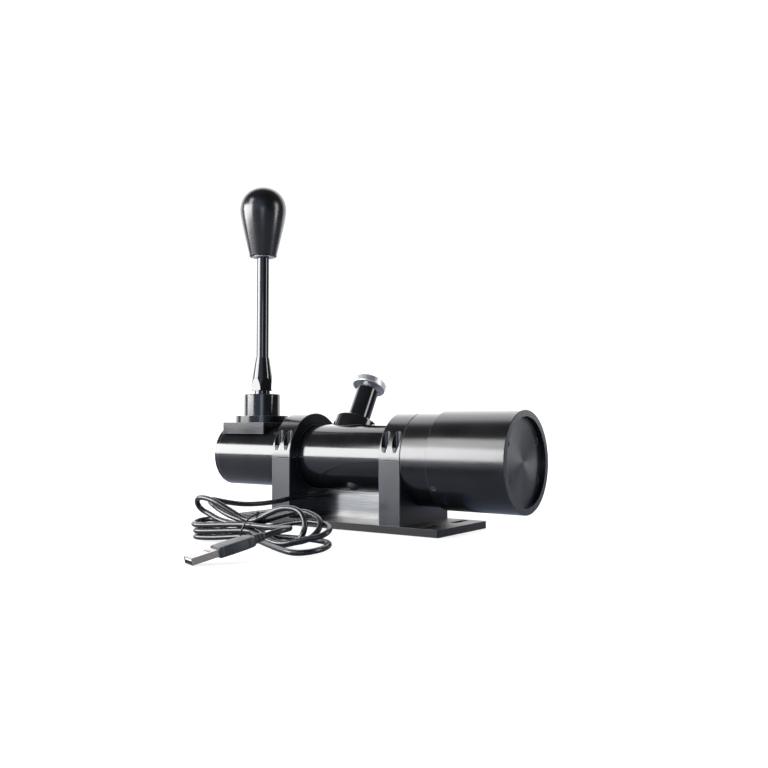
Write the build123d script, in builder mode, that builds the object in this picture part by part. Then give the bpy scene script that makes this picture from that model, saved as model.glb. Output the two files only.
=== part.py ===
"""Remote-rod gear shifter for a simulator rig: a lever in a gimbal on a clamped tube, a selector rod
inside the tube, an H-gate in the drum at its end, a pull plunger and a USB lead with its tied hank.

Frame: origin at the centre of the base plate's underside, +X towards the drum, +Y to the rear, +Z up.
"""
import os
from math import cos, radians, sin, tan

from build123d import *

os.makedirs("parts", exist_ok=True)

# ---------------------------------------------------------------- driving dimensions (mm)
axis_h = 57.0  # tube axis above the bench

base_l, base_w, base_t = 208.0, 80.0, 6.0
slot_l, slot_w = 24.0, 6.6
slot_inset, slot_pitch = 15.5, 45.0  # slot centre from the plate's end, and centre to centre

tube_od, tube_bore = 56.0, 46.0
tube_end_x = -141.0  # outer face of the end cap
cap_t, cap_chamfer = 4.8, 1.2
cap_spigot_l, cap_floor = 11.2, 1.5
left_bush_l, left_bush_od = 12.0, 16.0

clamp_t, clamp_r = 20.0, 38.0
left_clamp_x, right_clamp_x = -52.0, 59.0
clamp_split, clamp_chamfer = 0.6, 0.5
clamp_screw_pitch, clamp_screw_y = 10.0, 34.0
clamp_screw_seat = 6.0  # counterbore floor above the tube axis
clamp_cbore_d = 7.6
clamp_screw_d, clamp_head_d, clamp_head_h, clamp_screw_l = 4.0, 7.0, 4.0, 22.0
foot_screw_y, foot_screw_d, foot_head_d, foot_screw_l = 25.0, 5.0, 9.4, 16.0

lever_x = -106.0
saddle_x, saddle_l, saddle_w, saddle_t = -108.6, 49.8, 48.0, 10.2
flat_h = 19.5  # milled flat above the tube axis
flange_d, flange_t = 50.0, 6.1
collar_d, collar_h, collar_bore = 34.4, 20.2, 22.0
turret_screw_x, turret_screw_y, turret_screw_l = 12.5, 16.5, 19.5
turret_head_d, turret_screw_d = 5.8, 3.0

pivot_h = 42.0  # gimbal centre above the tube axis
ring_od, ring_bore, ring_h = 19.6, 14.5, 8.0
pin_d, cradle_pin_l = 4.0, 7.3
finger_reach = 30.0  # gimbal centre to the centre of the finger's ball
ball_d, finger_d, shaft_d, neck_d = 10.0, 6.0, 10.0, 15.0
neck_drop = 8.0  # neck's underside above the gimbal centre
neck_top = 17.2  # hex adapter's seat above the gimbal centre
hex_af, hex_h, hex_taper_h = 19.0, 3.6, 27.4
rod_d, rod_l = 12.0, 95.8
knob_l, knob_d, knob_base_d = 67.2, 45.0, 26.4
knob_crown, knob_side_r = 22.5, 17.6  # widest circle below the top, and the radius where its side bends
ferrule_d, ferrule_t = 21.0, 1.6
spigot_d, spigot_l = 8.0, 16.0

lever_throw = 10.0  # degrees fore and aft, each way
selector_throw = 18.9  # selector rod's turn for the whole side throw

selector_d = 12.0
fork_d, fork_l, mouth_d = 34.0, 22.0, 20.0
socket_mouth = 13.5  # where the fork's socket starts to widen, from the rod's axis
roll_pin_d, roll_pin_inset = 3.0, 3.0
sleeve_x, sleeve_l = -22.0, 43.0
guide_x, guide_angle = 8.0, -149.0
guide_pin_d, guide_head_d, guide_head_h = 6.0, 11.5, 3.4
magnet_x, magnet_d, magnet_t = -4.0, 6.0, 3.0
clip_d, clip_t = 18.0, 1.2

adapter_l, adapter_d, adapter_gap = 23.6, 76.0, 0.4
adapter_spigot_l, adapter_seat = 12.0, 4.0
right_bush_od = 24.0
drum_l, drum_od, drum_bore = 66.0, 80.0, 70.0
cover_t, cover_recess = 6.0, 3.5
cover_screw_r, cover_screw_angle = 29.6, 30.0
cover_cbore_d, cover_cbore_depth = 6.0, 3.3
cover_head_d, cover_head_h, cover_screw_d, cover_screw_l = 5.5, 3.0, 3.0, 12.0
drum_screw_angles, drum_screw_d = (-121.0, -1.0, 119.0), 4.0
gate_bore, gate_x = 54.0, 127.0
follower_d, follower_reach, gate_floor = 6.0, 33.0, 34.0
hub_d, hub_l = 24.0, 12.0

plunger_x, plunger_angle = -10.0, 30.3
boss_d, boss_top = 39.2, 33.6
barrel_d, barrel_top, barrel_bore, barrel_wall = 19.8, 67.8, 12.0, 4.8
thread_d, thread_end, spring_floor = 16.0, 24.0, 28.0
stem_d, stem_tip, shoulder_t = 6.0, 18.3, 3.0
knurl_d, knurl_bottom, knurl_t, knurl_hub_d = 29.8, 70.0, 6.9, 12.0
spring_wire, spring_turns = 1.1, 8

housing_y, housing_depth, housing_wall, lid_t = -2.0, 35.0, 3.0, 3.0
housing_clear, post_w = 0.25, 7.0
lid_screw_d, lid_head_d, lid_head_h, lid_screw_l = 3.0, 5.5, 3.0, 9.0
sensor_l, sensor_t, sensor_pad_d, sensor_pad_t = 24.0, 1.6, 5.0, 1.2
centring_wire, centring_d, centring_pitch, centring_turns = 1.4, 16.0, 1.55, 5
board_l, board_w, board_t, board_z = 60.0, 24.0, 1.6, 21.0
board_post_d, board_screw_d, board_head_d, board_head_h = 6.0, 2.5, 4.5, 1.8
gland_x, gland_z, gland_d, gland_groove_d, gland_l = -31.4, 24.5, 6.0, 4.6, 22.0
gland_ribs, gland_rib_t = 6, 1.6

cord_d = 4.0
plug_tip = (43.0, -241.0, 2.4)
plug_yaw, plug_pitch = 68.4, 12.5
shell_w, shell_t, shell_l, shell_wall = 12.0, 4.5, 18.75, 0.35
overmold_w, overmold_t, overmold_l = 16.0, 8.0, 26.7
relief_l, relief_d, relief_rings = 8.5, 6.6, 3

# ---------------------------------------------------------------- clearances and fits
run_fit = 0.05  # radial, shafts that turn or slide in their bores
ball_fit = 0.4  # radial, finger ball in the fork's socket
sleeve_fit = 0.1  # radial, guide sleeve in the tube
slot_fit = 0.2  # each side of a pin in its slot
seat_gap = 0.2  # between faces that turn or slide past each other
screw_clear = 0.2  # radial, a screw through its plain hole

# ---------------------------------------------------------------- worked out from the above
tube_r = tube_od / 2
pivot_z = axis_h + pivot_h
ball_z = pivot_z - finger_reach
tube_start = tube_end_x + cap_t
drum_start = right_clamp_x + clamp_t / 2 + adapter_gap + adapter_l
adapter_start = drum_start - adapter_l
spigot_end = drum_start + adapter_spigot_l
tube_stop = drum_start + adapter_seat
drum_end = drum_start + drum_l
cover_out = drum_end - cover_recess
cover_in = cover_out - cover_t
slide_throw = finger_reach * sin(radians(lever_throw))
slot_travel = 2 * slide_throw
flat_z = axis_h + flat_h
flange_z = flat_z + saddle_t
collar_z = flange_z + flange_t
turret_top = collar_z + collar_h
hex_z = pivot_z + neck_top
rod_z = hex_z + hex_h + hex_taper_h
knob_z = rod_z + rod_l
knob_top = knob_z + knob_l
lever_axis = Axis((lever_x, 0, 0), (0, 0, 1))
lever_plane = Plane(origin=(lever_x, 0, 0), x_dir=(1, 0, 0), z_dir=(0, -1, 0))
selector_start = tube_end_x + cap_floor + slide_throw + 0.8
selector_end = gate_x + hub_l / 2 + 4.0
fork_pin_x = lever_x - fork_l / 2 + roll_pin_inset
finger_pin_x = gate_x + hub_l / 2 - roll_pin_inset
housing_x0 = left_clamp_x + clamp_t / 2 + housing_clear
housing_x1 = right_clamp_x - clamp_t / 2 - housing_clear
housing_top = axis_h - tube_r - 0.9
housing_x = (housing_x0 + housing_x1) / 2
housing_l = housing_x1 - housing_x0
housing_back = housing_y + housing_depth


def across(x):
    """The plane across the tube at x, centred on the tube's axis."""
    return Plane(origin=(x, 0, axis_h), x_dir=(0, 1, 0), z_dir=(1, 0, 0))


def outward(x, angle):
    """The plane on the tube's axis at x that faces out, at an angle from straight up to the rear."""
    a = radians(angle)
    return Plane(origin=(x, 0, axis_h), x_dir=(1, 0, 0), z_dir=(0, sin(a), cos(a)))


def lengthwise(x, angle):
    """The plane through the tube's axis and that outward direction, with its own Y pointing out."""
    a = radians(angle)
    return Plane(origin=(x, 0, axis_h), x_dir=(1, 0, 0), z_dir=(0, -cos(a), sin(a)))


def disc(plane, diameter, length, mode=Mode.ADD):
    """A cylinder that starts on the plane and runs along its normal."""
    with BuildSketch(plane) as profile:
        Circle(diameter / 2)
    extrude(profile.sketch, amount=length, mode=mode)


def ring(plane, outer, inner, length):
    """A tube that starts on the plane and runs along its normal."""
    with BuildSketch(plane) as profile:
        Circle(outer / 2)
        Circle(inner / 2, mode=Mode.SUBTRACT)
    extrude(profile.sketch, amount=length)


def block(plane, length, width, height, mode=Mode.ADD):
    """A box that starts on the plane and runs along its normal."""
    with BuildSketch(plane) as profile:
        Rectangle(length, width)
    extrude(profile.sketch, amount=height, mode=mode)


def hex_socket(face, across_flats, depth):
    """A hexagon key's socket, sunk into the plane."""
    with BuildSketch(face) as profile:
        RegularPolygon(radius=across_flats / 2, side_count=6, major_radius=False)
    extrude(profile.sketch, amount=-depth, mode=Mode.SUBTRACT)


def cap_screw(seat, shank_d, head_d, head_h, length):
    """A socket cap screw whose head stands on the plane and whose shank goes down from it."""
    disc(seat, head_d, head_h)
    disc(seat, shank_d, -length)
    hex_socket(seat.offset(head_h), 0.72 * shank_d, 0.6 * head_h)


def flat_screw(face, shank_d, head_d, length):
    """A countersunk screw whose head is flush with the plane."""
    disc(face, shank_d, -length)
    head_h = (head_d - shank_d) / 2
    with Locations(face):
        Cone(shank_d / 2, head_d / 2, head_h, align=(Align.CENTER, Align.CENTER, Align.MAX))
    hex_socket(face, 0.6 * shank_d, 0.8 * head_h)


def spring(plane, mean_d, wire, pitch, turns):
    """A coil spring that starts on the plane and rises along its normal."""
    path = plane.location * Helix(pitch=pitch, height=pitch * turns, radius=mean_d / 2, mode=Mode.PRIVATE)
    with BuildSketch(Plane(origin=path @ 0, z_dir=path % 0)) as section:
        Circle(wire / 2)
    sweep(section.sketch, path=path, is_frenet=True)


def save(part, name):
    """Label a finished sub-part and write it to its own STEP file."""
    part.label = name
    export_step(part, f"parts/{name}.step")


# ---------------------------------------------------------------- base plate
clamp_places = {"left": left_clamp_x, "right": right_clamp_x}
slot_x = base_l / 2 - slot_inset

with BuildPart() as base_plate:
    block(Plane.XY, base_l, base_w, base_t)
    chamfer(base_plate.edges().filter_by(Axis.Z), 0.8)
    with BuildSketch(Plane.XY):
        with GridLocations(2 * slot_x, slot_pitch, 2, 2):
            SlotOverall(slot_l, slot_w, rotation=90)
    extrude(amount=base_t, mode=Mode.SUBTRACT)
    for x in clamp_places.values():
        with Locations(*[Plane((x, y, 0), z_dir=(0, 0, -1)) for y in (-foot_screw_y, foot_screw_y)]):
            CounterSinkHole(foot_screw_d / 2 + screw_clear, foot_head_d / 2 + screw_clear, depth=base_t)
save(base_plate.part, "base_plate")

# ---------------------------------------------------------------- tube clamps
def clamp_screw_points(x):
    """The four screw places of one clamp, in plan."""
    return [
        (x + dx, y)
        for dx in (-clamp_screw_pitch / 2, clamp_screw_pitch / 2)
        for y in (-clamp_screw_y, clamp_screw_y)
    ]


seat_z = axis_h + clamp_screw_seat

for side, x in clamp_places.items():
    with BuildPart() as clamp_lower:
        lower_h = axis_h - clamp_split / 2 - base_t
        block(Plane((x, 0, base_t)), clamp_t, 2 * clamp_r, lower_h)
        chamfer(clamp_lower.edges().filter_by(Axis.Z), clamp_chamfer)
        disc(across(x - clamp_t / 2), tube_od, clamp_t, Mode.SUBTRACT)
        for px, py in clamp_screw_points(x):
            disc(Plane((px, py, seat_z)), clamp_screw_d, -clamp_screw_l - 1, Mode.SUBTRACT)
        for y in (-foot_screw_y, foot_screw_y):
            disc(Plane((x, y, base_t)), foot_screw_d, foot_screw_l - base_t + 1, Mode.SUBTRACT)
    save(clamp_lower.part, f"clamp_lower_{side}")

    with BuildPart() as clamp_upper:
        disc(across(x - clamp_t / 2), 2 * clamp_r, clamp_t)
        chamfer(clamp_upper.edges().filter_by(GeomType.CIRCLE), clamp_chamfer)
        disc(across(x - clamp_t / 2), tube_od, clamp_t, Mode.SUBTRACT)
        split(bisect_by=Plane((x, 0, axis_h + clamp_split / 2)), keep=Keep.TOP)
        for px, py in clamp_screw_points(x):
            disc(Plane((px, py, seat_z)), clamp_cbore_d, clamp_r, Mode.SUBTRACT)
            disc(Plane((px, py, seat_z)), clamp_screw_d + 2 * screw_clear, -clamp_r, Mode.SUBTRACT)
    save(clamp_upper.part, f"clamp_upper_{side}")

with BuildPart() as clamp_screws:
    for x in clamp_places.values():
        for px, py in clamp_screw_points(x):
            cap_screw(Plane((px, py, seat_z)), clamp_screw_d, clamp_head_d, clamp_head_h, clamp_screw_l)
save(clamp_screws.part, "clamp_screws")

with BuildPart() as foot_screws:
    for x in clamp_places.values():
        for y in (-foot_screw_y, foot_screw_y):
            under = Plane((x, y, 0), z_dir=(0, 0, -1))
            flat_screw(under, foot_screw_d, foot_head_d, foot_screw_l)
save(foot_screws.part, "foot_screws")

# ---------------------------------------------------------------- body tube and its end cap
plunger_plane = outward(plunger_x, plunger_angle)
guide_plane = outward(guide_x, guide_angle)
magnet_plane = outward(magnet_x, 180)
guide_seat = tube_r - 0.6
window_l, window_w = slot_travel + magnet_d + 2.0, magnet_d + 2.0
turret_screw_places = [
    (lever_x + dx, y) for dx in (-turret_screw_x, turret_screw_x) for y in (-turret_screw_y, turret_screw_y)
]

with BuildPart() as body_tube:
    ring(across(tube_start), tube_od, tube_bore, tube_stop - tube_start)
    block(Plane((saddle_x, 0, flat_z)), saddle_l, tube_od, tube_od, Mode.SUBTRACT)
    disc(plunger_plane, thread_d, tube_od, Mode.SUBTRACT)
    disc(guide_plane, guide_pin_d, tube_od, Mode.SUBTRACT)
    disc(guide_plane.offset(guide_seat), guide_head_d + 0.6, tube_od, Mode.SUBTRACT)
    with BuildSketch(magnet_plane):
        SlotOverall(window_l, window_w)
    extrude(amount=tube_od, mode=Mode.SUBTRACT)
    for px, py in turret_screw_places:
        disc(Plane((px, py, flat_z)), turret_screw_d, -tube_r / 2, Mode.SUBTRACT)
save(body_tube.part, "body_tube")

with BuildPart() as end_cap:
    disc(across(tube_end_x), tube_od, cap_t)
    chamfer(end_cap.faces().sort_by(Axis.X)[0].edges(), cap_chamfer)
    disc(across(tube_start), tube_bore, cap_spigot_l)
    block(Plane((saddle_x, 0, flat_z)), saddle_l, tube_od, tube_od, Mode.SUBTRACT)
    disc(across(tube_end_x + cap_floor), left_bush_od, tube_od, Mode.SUBTRACT)
save(end_cap.part, "end_cap")

with BuildPart() as left_bush:
    left_bush_x = tube_start + cap_spigot_l - left_bush_l
    ring(across(left_bush_x), left_bush_od, selector_d + 2 * run_fit, left_bush_l)
save(left_bush.part, "left_bush")

# ---------------------------------------------------------------- turret that carries the lever
with BuildPart() as saddle_plate:
    block(Plane((saddle_x, 0, flat_z)), saddle_l, saddle_w, saddle_t)
    chamfer(saddle_plate.edges().filter_by(Axis.Z), 0.5)
    disc(Plane((lever_x, 0, flat_z)), collar_bore, saddle_t, Mode.SUBTRACT)
    for px, py in turret_screw_places:
        disc(Plane((px, py, flat_z)), turret_screw_d + 2 * screw_clear, saddle_t, Mode.SUBTRACT)
save(saddle_plate.part, "saddle_plate")

with BuildPart() as turret:
    disc(Plane((lever_x, 0, flange_z)), flange_d, flange_t)
    disc(Plane((lever_x, 0, collar_z)), collar_d, collar_h)
    chamfer(turret.faces().sort_by(Axis.Z)[-1].edges(), 0.6)
    disc(Plane((lever_x, 0, flange_z)), collar_bore, flange_t + collar_h, Mode.SUBTRACT)
    for direction in (-1, 1):
        across_pin = Plane((lever_x, 0, pivot_z), z_dir=(direction, 0, 0))
        disc(across_pin, pin_d, ring_bore / 2 + 0.1 + cradle_pin_l, Mode.SUBTRACT)
    with Locations(*[Plane((px, py, collar_z)) for px, py in turret_screw_places]):
        CounterSinkHole(turret_screw_d / 2 + screw_clear, turret_head_d / 2 + screw_clear, depth=flange_t)
save(turret.part, "turret")

with BuildPart() as turret_screws:
    for px, py in turret_screw_places:
        flat_screw(Plane((px, py, collar_z)), turret_screw_d, turret_head_d, turret_screw_l)
save(turret_screws.part, "turret_screws")

with BuildPart() as cradle_ring:
    ring(Plane((lever_x, 0, pivot_z - ring_h / 2)), ring_od, ring_bore, ring_h)
    pin_hole = Plane((lever_x - ring_od, 0, pivot_z), z_dir=(1, 0, 0))
    disc(pin_hole, pin_d + 2 * run_fit, 2 * ring_od, Mode.SUBTRACT)
    cross_hole = Plane((lever_x, -ring_od, pivot_z), z_dir=(0, 1, 0))
    disc(cross_hole, pin_d, 2 * ring_od, Mode.SUBTRACT)
save(cradle_ring.part, "cradle_ring")

with BuildPart() as cradle_pins:
    for direction in (-1, 1):
        bore_wall = lever_x + direction * (ring_bore / 2 + 0.1)
        disc(Plane((bore_wall, 0, pivot_z), z_dir=(direction, 0, 0)), pin_d, cradle_pin_l)
save(cradle_pins.part, "cradle_pins")

lever_pin_l = ring_od - 0.6
with BuildPart() as lever_pin:
    disc(Plane((lever_x, -lever_pin_l / 2, pivot_z), z_dir=(0, 1, 0)), pin_d, lever_pin_l)
save(lever_pin.part, "lever_pin")

# ---------------------------------------------------------------- lever, from the ball to the knob
with BuildPart() as lever_stud:
    with BuildSketch(lever_plane):
        with BuildLine():
            Polyline(
                (0, ball_z),
                (finger_d / 2, ball_z),
                (finger_d / 2, pivot_z - 12),
                (shaft_d / 2, pivot_z - 8),
                (shaft_d / 2, pivot_z + neck_drop - 2),
                (neck_d / 2, pivot_z + neck_drop),
                (neck_d / 2, hex_z),
                (spigot_d / 2, hex_z),
                (spigot_d / 2, hex_z + spigot_l),
                (0, hex_z + spigot_l),
                close=True,
            )
        make_face()
    revolve(axis=lever_axis)
    with Locations((lever_x, 0, ball_z)):
        Sphere(ball_d / 2)
    disc(Plane((lever_x, -neck_d, pivot_z), z_dir=(0, 1, 0)), pin_d + 2 * run_fit, 2 * neck_d, Mode.SUBTRACT)
save(lever_stud.part, "lever_stud")

hex_corner_r = hex_af / 2 / cos(radians(30))
with BuildPart() as hex_adapter:
    with BuildSketch(Plane((lever_x, 0, hex_z))):
        RegularPolygon(radius=hex_af / 2, side_count=6, major_radius=False)
    extrude(amount=hex_h + hex_taper_h)
    with BuildSketch(lever_plane):
        with BuildLine():
            Polyline(
                (0, hex_z),
                (hex_corner_r - 1.0, hex_z),
                (hex_corner_r, hex_z + 0.8),
                (hex_corner_r, hex_z + hex_h),
                (rod_d / 2 + 0.6, hex_z + hex_h + hex_taper_h),
                (0, hex_z + hex_h + hex_taper_h),
                close=True,
            )
        make_face()
    revolve(axis=lever_axis, mode=Mode.INTERSECT)
    disc(Plane((lever_x, 0, hex_z)), spigot_d, spigot_l, Mode.SUBTRACT)
    disc(Plane((lever_x, 0, rod_z)), spigot_d, -0.75 * spigot_l, Mode.SUBTRACT)
save(hex_adapter.part, "hex_adapter")

with BuildPart() as lever_rod:
    disc(Plane((lever_x, 0, rod_z)), rod_d, rod_l)
    disc(Plane((lever_x, 0, rod_z)), spigot_d, -0.75 * spigot_l)
    disc(Plane((lever_x, 0, knob_z)), spigot_d, 2 * spigot_l)
save(lever_rod.part, "lever_rod")

knob_wide_z = knob_top - knob_crown
with BuildPart() as knob:
    with BuildSketch(lever_plane):
        with BuildLine():
            Line((0, knob_z), (knob_base_d / 2 - 0.8, knob_z))
            Line((knob_base_d / 2 - 0.8, knob_z), (knob_base_d / 2, knob_z + 0.8))
            Bezier(
                (knob_base_d / 2, knob_z + 0.8),
                (knob_side_r, knob_z + 0.43 * (knob_l - knob_crown)),
                (knob_d / 2, knob_z + 0.84 * (knob_l - knob_crown)),
                (knob_d / 2, knob_wide_z),
            )
            Bezier(
                (knob_d / 2, knob_wide_z),
                (knob_d / 2, knob_wide_z + 0.62 * knob_crown),
                (0.55 * knob_d / 2, knob_top),
                (0, knob_top),
            )
            Line((0, knob_top), (0, knob_z))
        make_face()
    revolve(axis=lever_axis)
    disc(Plane((lever_x, 0, knob_z)), spigot_d, 2 * spigot_l, Mode.SUBTRACT)
    disc(Plane((lever_x, 0, knob_z)), ferrule_d, ferrule_t / 2, Mode.SUBTRACT)
save(knob.part, "knob")

with BuildPart() as knob_ferrule:
    disc(Plane((lever_x, 0, knob_z - ferrule_t / 2)), ferrule_d, ferrule_t)
    chamfer(knob_ferrule.faces().sort_by(Axis.Z)[0].edges(), 0.5)
    disc(Plane((lever_x, 0, knob_z - ferrule_t)), rod_d, ferrule_t, Mode.SUBTRACT)
    disc(Plane((lever_x, 0, knob_z - ferrule_t)), spigot_d, 2 * ferrule_t, Mode.SUBTRACT)
save(knob_ferrule.part, "knob_ferrule")

# ---------------------------------------------------------------- selector rod and what it carries
with BuildPart() as selector_rod:
    disc(across(selector_start), selector_d, selector_end - selector_start)
    chamfer(selector_rod.edges().filter_by(GeomType.CIRCLE), 0.5)
    for x in (fork_pin_x, finger_pin_x):
        disc(outward(x, 0).offset(-selector_d), roll_pin_d, 2 * selector_d, Mode.SUBTRACT)
save(selector_rod.part, "selector_rod")

socket_d = ball_d + 2 * ball_fit
with BuildPart() as selector_fork:
    ring(across(lever_x - fork_l / 2), fork_d, selector_d, fork_l)
    chamfer(selector_fork.edges().filter_by(GeomType.CIRCLE).sort_by(SortBy.RADIUS)[-2:], 0.8)
    disc(outward(lever_x, 0).offset(selector_d / 2 + 0.5), socket_d, fork_d, Mode.SUBTRACT)
    with Locations(outward(lever_x, 0).offset(socket_mouth)):
        Cone(
            socket_d / 2,
            mouth_d / 2,
            fork_d / 2 - socket_mouth + 0.6,
            align=(Align.CENTER, Align.CENTER, Align.MIN),
            mode=Mode.SUBTRACT,
        )
    disc(outward(fork_pin_x, 0).offset(-fork_d / 2), roll_pin_d, fork_d, Mode.SUBTRACT)
save(selector_fork.part, "selector_fork")

sleeve_od = tube_bore - 2 * sleeve_fit
groove_floor = stem_tip - 0.5
with BuildPart() as guide_sleeve:
    ring(across(sleeve_x), sleeve_od, selector_d + 2 * run_fit, sleeve_l)
    chamfer(guide_sleeve.edges().filter_by(GeomType.CIRCLE).sort_by(SortBy.RADIUS)[-2:], 0.8)
    for plane, width in ((plunger_plane, stem_d), (guide_plane, guide_pin_d)):
        slot_width = width + 2 * slot_fit
        with BuildSketch(plane.offset(groove_floor)):
            SlotOverall(slot_travel + slot_width + 2 * slot_fit, slot_width)
        extrude(amount=tube_bore, mode=Mode.SUBTRACT)
    disc(magnet_plane.offset(sleeve_od / 2), magnet_d, -magnet_t, Mode.SUBTRACT)
save(guide_sleeve.part, "guide_sleeve")

with BuildPart() as sleeve_magnet:
    disc(magnet_plane.offset(sleeve_od / 2 - 0.4), magnet_d, -magnet_t + 0.4)
save(sleeve_magnet.part, "sleeve_magnet")

with BuildPart() as sleeve_clips:
    ring(across(sleeve_x - seat_gap), clip_d, selector_d, -clip_t)
    ring(across(sleeve_x + sleeve_l + seat_gap), clip_d, selector_d, clip_t)
save(sleeve_clips.part, "sleeve_clips")

with BuildPart() as guide_screw:
    with BuildSketch(lengthwise(guide_x, guide_angle)):
        with BuildLine():
            head_edge = (guide_head_d / 2, guide_seat)
            head_top = (0, guide_seat + guide_head_h)
            Polyline(
                head_top,
                (0, groove_floor + 0.7),
                (guide_pin_d / 2, groove_floor + 0.7),
                (guide_pin_d / 2, guide_seat),
                head_edge,
            )
            TangentArc(head_top, head_edge, tangent=(1, 0))
        make_face()
    revolve(axis=Axis(guide_plane.origin, guide_plane.z_dir))
    hex_socket(guide_plane.offset(guide_seat + guide_head_h), 0.6 * guide_pin_d, 0.6 * guide_head_h)
save(guide_screw.part, "guide_screw")

with BuildPart() as gate_finger:
    disc(across(gate_x - hub_l / 2), hub_d, hub_l)
    chamfer(gate_finger.edges().filter_by(GeomType.CIRCLE), 0.8)
    disc(outward(gate_x, 0), follower_d, follower_reach)
    disc(across(gate_x - hub_l / 2), selector_d, hub_l, Mode.SUBTRACT)
    disc(outward(finger_pin_x, 0).offset(-hub_d / 2), roll_pin_d, hub_d - 1, Mode.SUBTRACT)
save(gate_finger.part, "gate_finger")

with BuildPart() as roll_pins:
    disc(outward(fork_pin_x, 0).offset(1 - fork_d / 2), roll_pin_d, fork_d - 2)
    disc(outward(finger_pin_x, 0).offset(1 - hub_d / 2), roll_pin_d, hub_d - 2)
save(roll_pins.part, "roll_pins")

with BuildPart() as angle_magnet:
    disc(across(selector_end), 0.7 * selector_d, magnet_t)
save(angle_magnet.part, "angle_magnet")

# ---------------------------------------------------------------- drum: adapter, shell, gate, cover
right_bush_l = spigot_end - tube_stop
with BuildPart() as drum_adapter:
    disc(across(adapter_start), adapter_d, adapter_l)
    disc(across(drum_start), drum_bore, adapter_spigot_l)
    disc(across(adapter_start), tube_od, tube_stop - adapter_start, Mode.SUBTRACT)
    disc(across(tube_stop), right_bush_od, right_bush_l, Mode.SUBTRACT)
    for angle in drum_screw_angles:
        place = outward(drum_start + adapter_seat, angle).offset(tube_r)
        disc(place, drum_screw_d, tube_r, Mode.SUBTRACT)
save(drum_adapter.part, "drum_adapter")

with BuildPart() as right_bush:
    ring(across(tube_stop), right_bush_od, selector_d + 2 * run_fit, right_bush_l)
save(right_bush.part, "right_bush")

with BuildPart() as drum_shell:
    ring(across(drum_start), drum_od, drum_bore, drum_l)
    chamfer(drum_shell.edges().filter_by(GeomType.CIRCLE).sort_by(SortBy.RADIUS)[-2:], 0.4)
    for angle in drum_screw_angles:
        place = outward(drum_start + adapter_seat, angle).offset(tube_r)
        disc(place, drum_screw_d, tube_r, Mode.SUBTRACT)
save(drum_shell.part, "drum_shell")

with BuildPart() as drum_set_screws:
    for angle in drum_screw_angles:
        face = outward(drum_start + adapter_seat, angle).offset(drum_od / 2 - 0.4)
        disc(face, drum_screw_d, tube_r + 1.5 - drum_od / 2)
        hex_socket(face, 0.56 * drum_screw_d, 0.5 * drum_screw_d)
save(drum_set_screws.part, "drum_set_screws")

gate_width = follower_d + 2 * slot_fit
gate_run = slot_travel + gate_width + 2 * slot_fit
cover_screw_angles = [cover_screw_angle, 180 - cover_screw_angle]
cover_screw_angles += [180 + cover_screw_angle, 360 - cover_screw_angle]
with BuildPart() as gate_housing:
    ring(across(spigot_end), drum_bore, gate_bore, cover_in - spigot_end)
    for angle in (-selector_throw, 0, selector_throw):
        with BuildSketch(outward(gate_x, angle).offset(gate_bore / 2 - 3)):
            SlotOverall(gate_run, gate_width)
        extrude(amount=gate_floor - gate_bore / 2 + 3, mode=Mode.SUBTRACT)
    neutral = outward(gate_x, -selector_throw)
    with BuildSketch(lengthwise(gate_x, -selector_throw)):
        with Locations((0, (gate_bore / 2 - 3 + gate_floor) / 2)):
            Rectangle(gate_width, gate_floor - gate_bore / 2 + 3)
    revolve(axis=Axis(neutral.origin, (-1, 0, 0)), revolution_arc=2 * selector_throw, mode=Mode.SUBTRACT)
    for angle in cover_screw_angles:
        a = radians(angle)
        with BuildSketch(across(cover_in)):
            with Locations((cover_screw_r * cos(a), cover_screw_r * sin(a))):
                Circle(cover_screw_d / 2)
        extrude(amount=-cover_screw_l, mode=Mode.SUBTRACT)
save(gate_housing.part, "gate_housing")

with BuildPart() as drum_cover:
    disc(across(cover_in), drum_bore, cover_t)
    chamfer(drum_cover.faces().sort_by(Axis.X)[-1].edges(), 0.4)
    with Locations(across(cover_out)):
        with PolarLocations(cover_screw_r, 2, start_angle=cover_screw_angle, angular_range=360):
            CounterBoreHole(
                cover_screw_d / 2 + screw_clear, cover_cbore_d / 2, cover_cbore_depth, depth=cover_t
            )
        with PolarLocations(cover_screw_r, 2, start_angle=-cover_screw_angle, angular_range=360):
            CounterBoreHole(
                cover_screw_d / 2 + screw_clear, cover_cbore_d / 2, cover_cbore_depth, depth=cover_t
            )
save(drum_cover.part, "drum_cover")

with BuildPart() as cover_screws:
    for angle in cover_screw_angles:
        a = radians(angle)
        seat = Plane(
            origin=(cover_out - cover_cbore_depth, cover_screw_r * cos(a), axis_h + cover_screw_r * sin(a)),
            z_dir=(1, 0, 0),
        )
        cap_screw(seat, cover_screw_d, cover_head_d, cover_head_h, cover_screw_l)
save(cover_screws.part, "cover_screws")

with BuildPart() as angle_sensor_board:
    block(across(cover_in - sensor_pad_t), sensor_l, sensor_l, -sensor_t)
    with BuildSketch(across(cover_in)):
        with GridLocations(sensor_l - sensor_pad_d, sensor_l - sensor_pad_d, 2, 2):
            Circle(sensor_pad_d / 2)
    extrude(amount=-sensor_pad_t)
save(angle_sensor_board.part, "angle_sensor_board")

with BuildPart() as centring_spring:
    centring_start = across(spigot_end + seat_gap + centring_wire / 2)
    spring(centring_start, centring_d, centring_wire, centring_pitch, centring_turns)
save(centring_spring.part, "centring_spring")

# ---------------------------------------------------------------- pull plunger
with BuildPart() as plunger_boss:
    disc(plunger_plane.offset(boss_d / 2), boss_d, boss_top - boss_d / 2)
    chamfer(plunger_boss.faces().sort_by(Axis(plunger_plane.origin, plunger_plane.z_dir))[-1].edges(), 0.5)
    disc(across(plunger_x - boss_d), tube_od, 2 * boss_d, Mode.SUBTRACT)
    disc(plunger_plane, thread_d, boss_top, Mode.SUBTRACT)
save(plunger_boss.part, "plunger_boss")

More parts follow.
